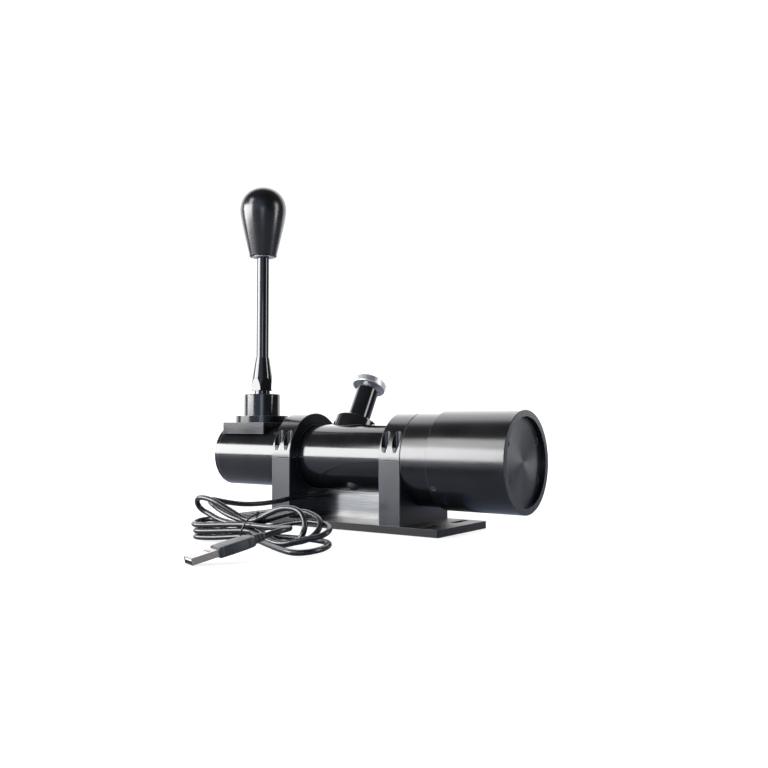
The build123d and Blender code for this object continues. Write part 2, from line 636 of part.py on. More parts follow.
plunger_out = Axis(plunger_plane.origin, plunger_plane.z_dir)
with BuildPart() as plunger_barrel:
    disc(plunger_plane.offset(boss_top), barrel_d, barrel_top - boss_top)
    chamfer(plunger_barrel.faces().sort_by(plunger_out)[-1].edges(), 0.6)
    disc(plunger_plane.offset(thread_end), thread_d, boss_top - thread_end)
    bore_l = barrel_top - barrel_wall - spring_floor
    disc(plunger_plane.offset(spring_floor), barrel_bore, bore_l, Mode.SUBTRACT)
    disc(plunger_plane, stem_d + 2 * run_fit, barrel_top, Mode.SUBTRACT)
save(plunger_barrel.part, "plunger_barrel")

shoulder_start = spring_floor + seat_gap
with BuildPart() as plunger_pin:
    disc(plunger_plane.offset(stem_tip), stem_d, knurl_bottom + 0.7 * knurl_t - stem_tip)
    chamfer(plunger_pin.faces().sort_by(plunger_out)[0].edges(), 0.5)
    disc(plunger_plane.offset(shoulder_start), barrel_bore - 2 * seat_gap, shoulder_t)
save(plunger_pin.part, "plunger_pin")

with BuildPart() as plunger_knob:
    disc(plunger_plane.offset(knurl_bottom), knurl_d, knurl_t)
    chamfer(plunger_knob.edges().filter_by(GeomType.CIRCLE), 0.6)
    hub_start = barrel_top + seat_gap
    disc(plunger_plane.offset(hub_start), knurl_hub_d, knurl_bottom - hub_start)
    disc(plunger_plane, stem_d, knurl_bottom + 0.7 * knurl_t, Mode.SUBTRACT)
save(plunger_knob.part, "plunger_knob")

spring_low = shoulder_start + shoulder_t + spring_wire / 2 + 0.1
spring_high = barrel_top - barrel_wall - spring_wire / 2 - 0.1
with BuildPart() as plunger_spring:
    spring_pitch = (spring_high - spring_low) / spring_turns
    spring_d = barrel_bore - 3 * spring_wire
    spring(plunger_plane.offset(spring_low), spring_d, spring_wire, spring_pitch, spring_turns)
save(plunger_spring.part, "plunger_spring")

# ---------------------------------------------------------------- sensor housing under the tube
housing_h = housing_top - base_t
post_inset = housing_wall + post_w / 2
post_x = housing_l / 2 - post_inset
post_z = (housing_h - 2 * housing_wall - post_w) / 2
housing_mid_z = (base_t + housing_top) / 2
lid_face = Plane(origin=(housing_x, housing_back, housing_mid_z), x_dir=(-1, 0, 0), z_dir=(0, 1, 0))
inner_depth = housing_depth - housing_wall
board_y = housing_y + housing_wall + inner_depth / 2
post_grid = (2 * (board_l / 2 - board_post_d), board_w - board_post_d)

with BuildPart() as sensor_housing:
    block(lid_face, housing_l, housing_h, -housing_depth)
    inner_l, inner_h = housing_l - 2 * housing_wall, housing_h - 2 * housing_wall
    block(lid_face, inner_l, inner_h, -inner_depth, Mode.SUBTRACT)
    with BuildSketch(lid_face):
        with GridLocations(2 * post_x, 2 * post_z, 2, 2):
            Rectangle(post_w, post_w)
    extrude(amount=-inner_depth)
    with BuildSketch(lid_face):
        with GridLocations(2 * post_x, 2 * post_z, 2, 2):
            Circle(lid_screw_d / 2)
    extrude(amount=-lid_screw_l, mode=Mode.SUBTRACT)
    with BuildSketch(Plane((housing_x, board_y, base_t + housing_wall))):
        with GridLocations(*post_grid, 2, 2):
            Circle(board_post_d / 2)
            Circle(board_screw_d / 2, mode=Mode.SUBTRACT)
    extrude(amount=board_z - base_t - housing_wall)
    gland_seat = Plane((gland_x, housing_y, gland_z), z_dir=(0, -1, 0))
    disc(gland_seat, gland_d, -housing_wall, Mode.SUBTRACT)
save(sensor_housing.part, "sensor_housing")

with BuildPart() as housing_lid:
    block(lid_face, housing_l, housing_h, lid_t)
    with BuildSketch(lid_face):
        with GridLocations(2 * post_x, 2 * post_z, 2, 2):
            Circle(lid_screw_d / 2 + screw_clear)
    extrude(amount=lid_t, mode=Mode.SUBTRACT)
save(housing_lid.part, "housing_lid")

with BuildPart() as lid_screws:
    for dx in (-post_x, post_x):
        for dz in (-post_z, post_z):
            seat = Plane((housing_x + dx, housing_back + lid_t, housing_mid_z + dz), z_dir=(0, 1, 0))
            cap_screw(seat, lid_screw_d, lid_head_d, lid_head_h, lid_screw_l)
save(lid_screws.part, "lid_screws")

with BuildPart() as circuit_board:
    block(Plane((housing_x, board_y, board_z)), board_l, board_w, board_t)
    with BuildSketch(Plane((housing_x, board_y, board_z))):
        with GridLocations(*post_grid, 2, 2):
            Circle(board_screw_d / 2 + screw_clear)
    extrude(amount=board_t, mode=Mode.SUBTRACT)
save(circuit_board.part, "circuit_board")

with BuildPart() as board_screws:
    for dx in (-post_grid[0] / 2, post_grid[0] / 2):
        for dy in (-post_grid[1] / 2, post_grid[1] / 2):
            seat = Plane((housing_x + dx, board_y + dy, board_z + board_t))
            cap_screw(seat, board_screw_d, board_head_d, board_head_h, 6.0)
save(board_screws.part, "board_screws")

with BuildPart() as cable_gland:
    disc(gland_seat.offset(-housing_wall), gland_d, housing_wall + 2.0)
    disc(gland_seat, gland_groove_d, gland_l)
    rib_pitch = (gland_l - 2.0) / gland_ribs
    for n in range(gland_ribs):
        taper = 1 - 0.04 * n
        rib_start = gland_seat.offset(2.0 + rib_pitch * (n + 1) - gland_rib_t)
        disc(rib_start, gland_d * taper, gland_rib_t)
save(cable_gland.part, "cable_gland")

# ---------------------------------------------------------------- USB lead, its tied hank and plug
yaw, pitch = radians(plug_yaw), radians(plug_pitch)
plug_plane = Plane(
    origin=plug_tip,
    x_dir=(sin(yaw), -cos(yaw), 0),
    z_dir=(cos(pitch) * cos(yaw), cos(pitch) * sin(yaw), sin(pitch)),
)
relief_start = shell_l + overmold_l
plug_l = relief_start + relief_l

with BuildPart() as usb_plug_shell:
    with BuildSketch(plug_plane):
        Rectangle(shell_w, shell_t)
        Rectangle(shell_w - 2 * shell_wall, shell_t - 2 * shell_wall, mode=Mode.SUBTRACT)
    extrude(amount=shell_l)
    for dx in (-2.4, 2.4):
        with BuildSketch(plug_plane.offset(shell_l - 6.5)):
            with Locations((dx, 0)):
                Rectangle(2.4, 2 * shell_t)
        extrude(amount=2.4, mode=Mode.SUBTRACT)
save(usb_plug_shell.part, "usb_plug_shell")

tongue_t = 1.8
with BuildPart() as usb_plug_tongue:
    with BuildSketch(plug_plane.offset(0.5)):
        with Locations((0, shell_wall + tongue_t / 2 - shell_t / 2)):
            Rectangle(shell_w - 2 * shell_wall, tongue_t)
    extrude(amount=shell_l - 0.5)
save(usb_plug_tongue.part, "usb_plug_tongue")

with BuildPart() as usb_plug_body:
    with BuildSketch(plug_plane.offset(shell_l)):
        RectangleRounded(overmold_w, overmold_t, 1.8)
    extrude(amount=overmold_l)
    disc(plug_plane.offset(relief_start), cord_d + 1.2, relief_l)
    relief_pitch = relief_l / relief_rings
    for n in range(relief_rings):
        ring_start = plug_plane.offset(relief_start + relief_pitch * n)
        disc(ring_start, relief_d * (1 - 0.06 * n), 0.55 * relief_pitch)
save(usb_plug_body.part, "usb_plug_body")


def turn_radii(points):
    """The largest arc that each inner point of a route leaves room for."""
    radii = []
    for before, here, after in zip(points, points[1:], points[2:]):
        first, second = Vector(here) - Vector(before), Vector(after) - Vector(here)
        shorter = min(first.length, second.length)
        radii.append(0.45 * shorter / tan(radians(first.get_angle(second)) / 2))
    return radii


def cord_path(points):
    """Straight runs between the points, joined by arcs as large as the runs allow."""
    radii = turn_radii(points)
    print("cord radii:", [round(r, 1) for r in radii])
    return FilletPolyline(*points, radius=radii)


def cord_tube(points):
    """The cord's round section swept along its route."""
    with BuildLine() as line:
        cord_path(points)
    with BuildSketch(Plane(origin=line.line @ 0, z_dir=line.line % 0)) as section:
        Circle(cord_d / 2)
    sweep(section.sketch, path=line.line)


gland_exit = (gland_x, housing_y - gland_l, gland_z)
cable_route = [
    gland_exit,
    (gland_x, -42.0, gland_z),
    (-38.0, -65.0, 20.7),
    (-45.5, -91.0, 20.6),
    (-47.0, -115.0, 24.8),
    (-40.0, -137.5, 27.8),
]
plug_tail = plug_plane.origin + plug_plane.z_dir * plug_l
plug_route = [
    tuple(plug_tail),
    tuple(plug_tail + plug_plane.z_dir * 8.0),
    (67.5, -176.0, 17.4),
]

with BuildPart() as usb_cable:
    cord_tube(cable_route)
save(usb_cable.part, "usb_cable")

with BuildPart() as plug_lead:
    cord_tube(plug_route)
save(plug_lead.part, "plug_lead")

tie_x, tie_w, tie_t, tie_floor = 13.0, 2.4, 1.0, 1.2
tie_half_y, tie_half_z = 9.0, 10.0
hank_sections = [  # place along X, place along Y, half width, half height, height above the bench
    (-47.0, -150.0, 4.0, 6.5, 0.0),
    (-38.0, -147.5, 13.0, 17.5, 0.0),
    (-18.0, -148.5, 12.0, 16.5, 0.0),
    (tie_x - tie_w, -150.0, tie_half_y, tie_half_z, tie_floor),
    (tie_x + tie_w, -150.0, tie_half_y, tie_half_z, tie_floor),
    (38.0, -152.0, 18.0, 15.0, 0.0),
    (62.0, -152.0, 28.0, 16.5, 0.0),
    (84.0, -152.0, 26.0, 10.0, 0.0),
    (92.0, -151.0, 14.0, 5.0, 0.0),
]
with BuildPart() as cable_hank:
    for x, y, half_y, half_z, above in hank_sections:
        with BuildSketch(Plane(origin=(x, y, above + half_z), x_dir=(0, 1, 0), z_dir=(1, 0, 0))):
            Ellipse(half_y, half_z)
    loft(ruled=True)
save(cable_hank.part, "cable_hank")

with BuildPart() as cable_tie:
    tie_place = (tie_x - tie_w / 2, -150.0, tie_floor + tie_half_z)
    with BuildSketch(Plane(origin=tie_place, x_dir=(0, 1, 0), z_dir=(1, 0, 0))):
        Ellipse(tie_half_y + tie_t, tie_half_z + tie_t)
        Ellipse(tie_half_y, tie_half_z, mode=Mode.SUBTRACT)
    extrude(amount=tie_w)
save(cable_tie.part, "cable_tie")
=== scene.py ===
"""Looks for the remote-rod shifter: camera, studio light, USB lead with its tied hank, and every finish.

Everything is in metres in the CAD's frame: origin under the base plate's centre, +X to the drum, +Z up.
"""
from math import cos, pi, radians, sin, tau

import bmesh
import bpy
from mathutils import Matrix, Vector


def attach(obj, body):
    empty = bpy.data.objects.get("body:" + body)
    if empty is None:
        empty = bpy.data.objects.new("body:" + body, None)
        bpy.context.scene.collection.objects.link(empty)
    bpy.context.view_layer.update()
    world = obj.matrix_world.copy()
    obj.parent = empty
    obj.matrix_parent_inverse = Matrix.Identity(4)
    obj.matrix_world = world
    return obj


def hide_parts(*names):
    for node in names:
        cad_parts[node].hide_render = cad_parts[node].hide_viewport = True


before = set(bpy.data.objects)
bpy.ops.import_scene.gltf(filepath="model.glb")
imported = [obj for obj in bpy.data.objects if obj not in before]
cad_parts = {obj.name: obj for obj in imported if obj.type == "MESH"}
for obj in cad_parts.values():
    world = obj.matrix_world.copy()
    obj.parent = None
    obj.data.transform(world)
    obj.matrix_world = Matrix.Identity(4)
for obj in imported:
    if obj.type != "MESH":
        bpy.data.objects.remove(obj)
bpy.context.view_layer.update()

scene = bpy.context.scene
mm = 0.001

# ---------------------------------------------------------------- places, from the CAD's driving dimensions
AXIS_H = 57.0 * mm  # tube axis above the bench
LEVER_X = -106.0 * mm
PLUNGER_X, PLUNGER_ANGLE = -10.0 * mm, radians(30.3)
PLUNGER_OUT = Vector((0, sin(PLUNGER_ANGLE), cos(PLUNGER_ANGLE)))
PLUNGER_ROOT = Vector((PLUNGER_X, 0, AXIS_H))
ALONG_X, UP = Vector((1, 0, 0)), Vector((0, 0, 1))
TUBE_AXIS = (Vector((0, 0, AXIS_H)), ALONG_X)
LEVER_AXIS = (Vector((LEVER_X, 0, 0)), UP)
PLUNGER_AXIS = (PLUNGER_ROOT, PLUNGER_OUT)

# ---------------------------------------------------------------- camera
CAMERA_AT = Vector((0.4492, -0.6413, 0.0891))
CAMERA_AIM = Vector((-0.597, 0.799, 0.0763))
camera_data = bpy.data.cameras.new("camera")
camera_data.lens = 42.25
camera_data.sensor_width = 36.0
camera_data.shift_x = 0.0738
camera_data.shift_y = -0.0431
camera_data.clip_start = 0.01
camera = bpy.data.objects.new("camera", camera_data)
camera.matrix_world = Matrix.Translation(CAMERA_AT) @ CAMERA_AIM.to_track_quat("-Z", "Y").to_matrix().to_4x4()
scene.collection.objects.link(camera)
scene.camera = camera
scene.view_settings.view_transform = "Standard"

# ---------------------------------------------------------------- the lead and its hank
CORD_D = 4.0 * mm
CABLE_ROUTE = [
    (-31.4, -24.0, 24.5),
    (-31.4, -42.0, 24.5),
    (-38.0, -65.0, 20.7),
    (-45.5, -91.0, 20.6),
    (-47.0, -115.0, 24.8),
]
ARRIVAL = [
    (-45.0, -130.0, 28.0),
    (-38.5, -139.0, 27.5),
    (-29.0, -142.5, 24.0),
    (-16.0, -144.5, 19.5),
    (-2.0, -145.8, 16.5),
]
PLUG_ROUTE = [
    (34.0, -156.0, 14.4),
    (48.0, -159.5, 15.2),
    (59.0, -163.5, 16.4),
    (66.5, -170.0, 17.4),
    (67.8, -178.0, 17.2),
    (65.26, -184.77, 15.81),
    (62.39, -192.03, 14.08),
]
TIE_X, TIE_HALF = 13.0, 4.5
# Where each pass of the cord goes through the tie (y, z), in order.
TIE_PASSES = [
    (-146.0, 15.0),
    (-150.0, 12.8),
    (-150.0, 17.0),
    (-150.0, 4.2),
    (-154.0, 6.0),
    (-146.0, 6.4),
    (-154.0, 10.2),
    (-146.0, 10.7),
    (-154.0, 14.4),
]
# One turn's half each, right and left by turns: centre of its end arc, reach of that arc, half width (y, z)
# towards the side that leaves the tie, and how far (y, z) the leaving and the returning strand bow out.
LOBES = [
    ((61.0, -147.0, 14.5), 12.0, (8.0, 8.0), (4.0, 5.0), (-6.0, -4.0)),
    ((-31.5, -150.0, 25.5), 8.5, (4.0, -6.2), (0.0, -2.5), (-2.0, 3.0)),
    ((53.0, -152.0, 16.0), 12.0, (2.0, 11.5), (-1.0, 3.5), (-6.0, -1.6)),
    ((-29.5, -150.0, 2.9), 9.0, (9.0, 0.0), (0.0, 0.0), (0.0, -0.5)),
    ((73.0, -160.5, 4.4), 14.0, (-17.5, -1.8), (-1.0, -0.2), (5.0, 0.0)),
    ((-29.5, -150.0, 7.6), 9.0, (9.0, 0.4), (0.0, 0.0), (0.0, 0.0)),
    ((69.0, -149.0, 13.5), 13.0, (-10.0, -4.0), (-8.0, -5.0), (4.0, 3.0)),
    ((-32.0, -149.5, 13.0), 9.0, (9.0, 1.4), (0.0, 0.6), (0.0, 0.0)),
]
ARC_STEPS = (80, 40, 0, -40, -80)  # degrees round each end arc
ARC_SWELL = 1.04  # the arc's half width over that of the two strands where they meet it
BOW_STATIONS = ((0.35, 0.6), (0.72, 1.0))  # share of the way from the tie to the arc, and of the bow there


def lobe_points(start, finish, side, lobe):
    """Control points of one lobe of the hank, from the tie out round its end arc and back to the tie."""
    centre, reach, half, out_bow, back_bow = lobe
    centre = Vector(centre)
    half, out_bow, back_bow = (Vector((0, *pair)) for pair in (half, out_bow, back_bow))
    leave = Vector((TIE_X + side * TIE_HALF, *start))
    arrive = Vector((TIE_X + side * TIE_HALF, *finish))
    points = [leave]
    for along, bow in BOW_STATIONS:
        points.append(leave.lerp(centre + half, along) + bow * out_bow)
    for degrees in ARC_STEPS:
        turn = radians(degrees)
        points.append(centre + side * reach * cos(turn) * ALONG_X + ARC_SWELL * sin(turn) * half)
    for along, bow in reversed(BOW_STATIONS):
        points.append(arrive.lerp(centre - half, along) + bow * back_bow)
    points.append(arrive)
    return points


route = [Vector(p) for p in CABLE_ROUTE + ARRIVAL]
route.append(Vector((TIE_X - TIE_HALF, *TIE_PASSES[0])))
for turn, lobe in enumerate(LOBES):
    side = 1 if turn % 2 == 0 else -1
    route += lobe_points(TIE_PASSES[turn], TIE_PASSES[turn + 1], side, lobe)
route.append(Vector((TIE_X + TIE_HALF, *TIE_PASSES[-1])))
route += [Vector(p) for p in PLUG_ROUTE]


def curve_piece(name, points, diameter, cyclic=False):
    """A round cord or wire along a smooth curve with these control points, in metres."""
    data = bpy.data.curves.new(name, "CURVE")
    data.dimensions = "3D"
    data.resolution_u = 10
    data.bevel_depth = 1.0  # times each point's own radius
    data.bevel_resolution = 6
    data.use_fill_caps = not cyclic
    spline = data.splines.new("NURBS")
    spline.points.add(len(points) - 1)
    for point, place in zip(spline.points, points):
        point.co = (*place, 1.0)
        point.radius = diameter / 2
    spline.order_u = 3
    spline.use_endpoint_u = not cyclic
    spline.use_cyclic_u = cyclic
    piece = bpy.data.objects.new(name, data)
    scene.collection.objects.link(piece)
    return piece


usb_lead = curve_piece("usb_lead", [mm * p for p in route], CORD_D)
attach(usb_lead, "root")
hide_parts("usb_cable", "cable_hank", "plug_lead")

# ---------------------------------------------------------------- the wire tie round the hank
TIE_WIRE_D = 1.2 * mm
TIE_CENTRE, TIE_HALF_Y, TIE_HALF_Z = (TIE_X, -150.0, 11.3), 9.4, 10.2
TIE_SLANT = 4.5  # its top lies this far to the drum's side, and its bottom as far to the other
TIE_START_GAP = 0.7  # the loop's two ends lie this far to either side of where it would close
TIE_TURNS, TIE_TAIL = 1.5, 4.5  # twists of the two ends, and their length
TAIL_OUT = Vector((0.90, -0.20, 0.30)).normalized()  # the way the two ends point
TAIL_RISE = 0.4  # how far above the loop they start
TWIST_R = 0.62  # from the twist's axis to the middle of each wire
FLARE_FROM, FLARE = 0.75, 1.6  # share of the tail after which its ends spread, and how much
TAIL_STEPS, LOOP_STEPS = 22, 28


def tie_points():
    """The tie's loop round the bundle, between its two ends, which are twisted together on top."""
    centre = Vector(TIE_CENTRE)
    knot = centre + Vector((TIE_SLANT, 0.0, TIE_HALF_Z + TAIL_RISE))
    across_one = TAIL_OUT.cross(UP).normalized()
    across_two = TAIL_OUT.cross(across_one)

    def tail(phase):
        points = []
        for step in range(TAIL_STEPS + 1):
            share = step / TAIL_STEPS
            turn = tau * TIE_TURNS * share + phase
            reach = TWIST_R * (1 + FLARE * max(0.0, share - FLARE_FROM))
            offset = reach * (cos(turn) * across_one + sin(turn) * across_two)
            points.append(knot + TIE_TAIL * share * TAIL_OUT + offset)
        return points

    loop = []
    for step in range(1, LOOP_STEPS):
        turn = tau * step / LOOP_STEPS
        side = TIE_SLANT * cos(turn) + TIE_START_GAP * (2 * step / LOOP_STEPS - 1)
        loop.append(centre + Vector((side, TIE_HALF_Y * sin(turn), TIE_HALF_Z * cos(turn))))
    return list(reversed(tail(0.0))) + loop + tail(pi)


tie_wire = curve_piece("tie_wire", [mm * p for p in tie_points()], TIE_WIRE_D)
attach(tie_wire, "root")
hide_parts("cable_tie")

# ---------------------------------------------------------------- the plug's moulded body
PLUG_TIP = Vector((43.0, -241.0, 2.4))
PLUG_YAW, PLUG_PITCH = radians(68.4), radians(12.5)
PLUG_ALONG = Vector((cos(PLUG_PITCH) * cos(PLUG_YAW), cos(PLUG_PITCH) * sin(PLUG_YAW), sin(PLUG_PITCH)))
PLUG_WIDE = Vector((sin(PLUG_YAW), -cos(PLUG_YAW), 0.0))
PLUG_THICK = PLUG_ALONG.cross(PLUG_WIDE)
CORNER_STEPS = 10
SHARP_ANGLE = radians(38)  # edges that turn more than this stay sharp


def outline(half_w, half_t, corner):
    """A rounded rectangle's outline as (wide, thick) pairs, always with the same number of points."""
    pairs = []
    for quarter, (side_w, side_t) in enumerate(((1, 1), (-1, 1), (-1, -1), (1, -1))):
        centre_w, centre_t = side_w * (half_w - corner), side_t * (half_t - corner)
        for step in range(CORNER_STEPS):
            turn = radians(90 * (quarter + step / (CORNER_STEPS - 1)))
            pairs.append((centre_w + corner * cos(turn), centre_t + corner * sin(turn)))
    return pairs


def mesh_piece(name, verts, faces):
    """A mesh piece from points in millimetres, smooth but for its sharp corners."""
    mesh = bpy.data.meshes.new(name)
    mesh.from_pydata([mm * v for v in verts], [], faces)
    mesh.validate()
    mesh.update()
    mesh.shade_smooth()
    mesh.set_sharp_from_angle(angle=SHARP_ANGLE)
    piece = bpy.data.objects.new(name, mesh)
    scene.collection.objects.link(piece)
    return piece


def closed_tube_faces(rows, columns):
    """Quads between rings of points, and a cap on each end."""
    faces = []
    for row in range(rows - 1):
        for column in range(columns):
            after = (column + 1) % columns
            low, high = row * columns, (row + 1) * columns
            faces.append((low + column, low + after, high + after, high + column))
    faces.append(tuple(reversed(range(columns))))
    faces.append(tuple(range((rows - 1) * columns, rows * columns)))
    return faces


# Along the plug from its tip, then half width, half thickness and corner radius of the section there.
PLUG_SECTIONS = [
    (18.80, 6.65, 2.95, 0.9),
    (18.90, 7.05, 3.25, 1.1),
    (19.25, 7.30, 3.45, 1.2),
    (21.60, 7.32, 3.46, 1.2),
    (21.80, 7.22, 3.36, 1.2),
    (22.00, 7.22, 3.36, 1.2),
    (22.20, 7.34, 3.48, 1.2),
    (30.00, 7.36, 3.50, 1.3),
    (38.60, 7.30, 3.46, 1.4),
    (38.80, 7.18, 3.34, 1.4),
    (39.00, 7.18, 3.34, 1.4),
    (39.20, 7.26, 3.42, 1.5),
    (42.60, 6.90, 3.36, 1.9),
    (44.60, 6.10, 3.28, 2.4),
    (45.30, 5.20, 3.05, 2.6),
    (45.45, 3.60, 2.90, 2.7),
    (45.50, 2.75, 2.75, 2.74),
    (45.95, 2.75, 2.75, 2.74),
    (46.05, 3.20, 3.20, 3.19),
    (46.30, 3.32, 3.32, 3.31),
    (47.40, 3.32, 3.32, 3.31),
    (47.65, 3.15, 3.15, 3.14),
    (47.75, 2.65, 2.65, 2.64),
    (48.75, 2.65, 2.65, 2.64),
    (48.85, 3.02, 3.02, 3.01),
    (49.10, 3.14, 3.14, 3.13),
    (50.10, 3.12, 3.12, 3.11),
    (50.35, 2.98, 2.98, 2.97),
    (50.45, 2.55, 2.55, 2.54),
    (51.45, 2.55, 2.55, 2.54),
    (51.55, 2.84, 2.84, 2.83),
    (51.80, 2.94, 2.94, 2.93),
    (52.80, 2.90, 2.90, 2.89),
    (53.20, 2.70, 2.70, 2.69),
    (53.80, 2.45, 2.45, 2.44),
    (53.95, 2.15, 2.15, 2.14),
]
plug_verts = []
for along, half_w, half_t, corner in PLUG_SECTIONS:
    for wide, thick in outline(half_w, half_t, corner):
        plug_verts.append(PLUG_TIP + along * PLUG_ALONG + wide * PLUG_WIDE + thick * PLUG_THICK)
plug_faces = closed_tube_faces(len(PLUG_SECTIONS), 4 * CORNER_STEPS)
plug_overmold = mesh_piece("plug_overmold", plug_verts, plug_faces)
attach(plug_overmold, "root")
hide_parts("usb_plug_body")

# ---------------------------------------------------------------- the plunger's knurled knob
KNURL_COLUMNS, KNURL_TEETH, KNURL_ROWS, KNURL_DEPTH = 432, 72, 15, 0.28
KNURL_LOW, KNURL_HIGH, KNURL_R = 70.65, 76.25, 14.9
KNURL_BEVEL, KNURL_DIAMOND = 0.12, 1.3  # step down at the knurl's two ends, and the height of one diamond
# (radius, height above the tube's axis) up the outside from the neck's foot to the rim, then over the top.
UNDER_RIM = [
    (3.0, 68.0), (5.55, 68.0), (5.95, 68.35), (5.95, 71.3), (6.35, 71.75), (11.7, 71.75),
    (12.2, 71.5), (12.3, 70.35), (12.65, 70.0), (14.1, 70.0), (14.55, 70.3),
]
OVER_RIM = [(14.55, 76.6), (14.1, 76.9), (12.2, 76.9), (11.9, 76.65), (4.0, 76.62), (1.2, 76.62)]
profile = [(r, h, 0.0) for r, h in UNDER_RIM]
for row in range(KNURL_ROWS):
    share = row / (KNURL_ROWS - 1)
    depth, radius = (KNURL_DEPTH, KNURL_R) if 0 < row < KNURL_ROWS - 1 else (0.0, KNURL_R - KNURL_BEVEL)
    profile.append((radius, KNURL_LOW + share * (KNURL_HIGH - KNURL_LOW), depth))
profile += [(r, h, 0.0) for r, h in OVER_RIM]
beside_knob = PLUNGER_OUT.cross(ALONG_X)
knob_verts = []
for radius, height, depth in profile:
    lean = (height - KNURL_LOW) / KNURL_DIAMOND * pi
    for column in range(KNURL_COLUMNS):
        turn = tau * column / KNURL_COLUMNS
        wave = KNURL_TEETH * turn / 2
        ridge = 0.5 * depth * (abs(sin(wave + lean)) + abs(sin(wave - lean)))
        reach = radius - depth + ridge
        spot = reach * (cos(turn) * ALONG_X + sin(turn) * beside_knob) + height * PLUNGER_OUT
        knob_verts.append(spot + PLUNGER_ROOT / mm)
pull_knob = mesh_piece("pull_knob", knob_verts, closed_tube_faces(len(profile), KNURL_COLUMNS))
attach(pull_knob, "plunger")
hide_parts("plunger_knob")


# ---------------------------------------------------------------- material building blocks
class Finish:
    """A Principled material under construction, with short ways to add nodes to it."""

    def __init__(self, name, roughness, metallic=0.0):
        self.material = bpy.data.materials.new(name)
        self.material.use_nodes = True
        self.tree = self.material.node_tree
        self.shader = self.tree.nodes["Principled BSDF"]
        self.shader.inputs["Roughness"].default_value = roughness
        self.shader.inputs["Metallic"].default_value = metallic
        self.shader.inputs["IOR"].default_value = 1.5
        self.bump_chain = None
        self.where = self.tree.nodes.new("ShaderNodeTexCoord").outputs["Object"]

    def add(self, kind, links=(), **settings):
        """A node of this kind, with its inputs linked or set; returns its first output."""
        node = self.tree.nodes.new(kind)
        for key, value in settings.items():
            setattr(node, key, value)
        for socket, value in links:
            if isinstance(value, bpy.types.NodeSocket):
                self.tree.links.new(value, node.inputs[socket])
            else:
                node.inputs[socket].default_value = value
        return node.outputs[0]

    def math(self, operation, first, second=0.0):
        """One sum of two values or sockets."""
        return self.add("ShaderNodeMath", [(0, first), (1, second)], operation=operation)

    def axis_space(self, origin, direction):
        """The same place with its Z along the given axis."""
        turn = direction.to_track_quat("Z", "Y").to_euler()
        links = [("Vector", self.where), ("Location", tuple(origin)), ("Rotation", tuple(turn))]
        return self.add("ShaderNodeMapping", links, vector_type="TEXTURE")

    def lathe(self, origin, direction):
        """(along, radius) of a turned piece, as two values."""
        local = self.axis_space(origin, direction)
        parts = self.add("ShaderNodeSeparateXYZ", [(0, local)]).node
        flat = self.add("ShaderNodeCombineXYZ", [(0, parts.outputs[0]), (1, parts.outputs[1])])
        radius = self.add("ShaderNodeVectorMath", [(0, flat)], operation="LENGTH").node.outputs["Value"]
        return parts.outputs[2], radius

    def ring_space(self, axis, scale):
        """A place that changes only along and outwards from an axis, so that noise on it makes rings."""
        along, radius = self.lathe(*axis)
        links = [(0, self.math("MULTIPLY", along, scale)), (1, self.math("MULTIPLY", radius, scale))]
        return self.add("ShaderNodeCombineXYZ", links)

    def noise(self, vector, scale, detail, roughness=0.5):
        links = [("Vector", vector), ("Scale", scale), ("Detail", detail), ("Roughness", roughness)]
        return self.add("ShaderNodeTexNoise", links)

    def ramp(self, value, stops):
        """Colours or grey values over a 0 to 1 input."""
        output = self.add("ShaderNodeValToRGB", [(0, value)])
        ramp = output.node.color_ramp
        while len(ramp.elements) < len(stops):
            ramp.elements.new(0.5)
        for element, (position, colour) in zip(ramp.elements, stops):
            element.position = position
            element.color = (*colour, 1.0) if hasattr(colour, "__len__") else (colour, colour, colour, 1.0)
        return output

    def mix(self, share, first, second):
        """Two colours mixed by a 0 to 1 share."""
        output = self.add("ShaderNodeMix", data_type="RGBA")
        for socket, value in ((0, share), (6, first), (7, second)):
            if isinstance(value, bpy.types.NodeSocket):
                self.tree.links.new(value, output.node.inputs[socket])
            else:
                output.node.inputs[socket].default_value = value if socket == 0 else (*value, 1.0)
        return output.node.outputs[2]

    def bump(self, height, distance, strength):
        """One more layer of relief, in metres."""
        links = [("Height", height), ("Distance", distance), ("Strength", strength)]
        if self.bump_chain is not None:
            links.append(("Normal", self.bump_chain))
        self.bump_chain = self.add("ShaderNodeBump", links)

    def edges(self, width):
        """A mask that is 1 where the surface turns a corner within this width, and 0 on flat parts."""
        soft = self.add("ShaderNodeBevel", [("Radius", width)], samples=6)
        true = self.tree.nodes.new("ShaderNodeNewGeometry").outputs["Normal"]
        alike = self.add("ShaderNodeVectorMath", [(0, soft), (1, true)], operation="DOT_PRODUCT")
        return self.ramp(alike.node.outputs["Value"], [(0.80, 1.0), (0.985, 0.0)])

    def socket(self, name, value):
        """Sets or links an input of the shader."""
        if isinstance(value, bpy.types.NodeSocket):
            self.tree.links.new(value, self.shader.inputs[name])
        else:
            self.shader.inputs[name].default_value = value

    def done(self):
        """The finished material."""
        if self.bump_chain is not None:
            self.tree.links.new(self.bump_chain, self.shader.inputs["Normal"])
        return self.material


EDGE_WIDTH = 0.5 * mm  # how far in from an edge the pale edge reaches, as wear and as a painted highlight
WORN_AND_GLINT = (0.55, 0.56, 0.58)  # aluminium that shows through at the edges, and a painted edge highlight
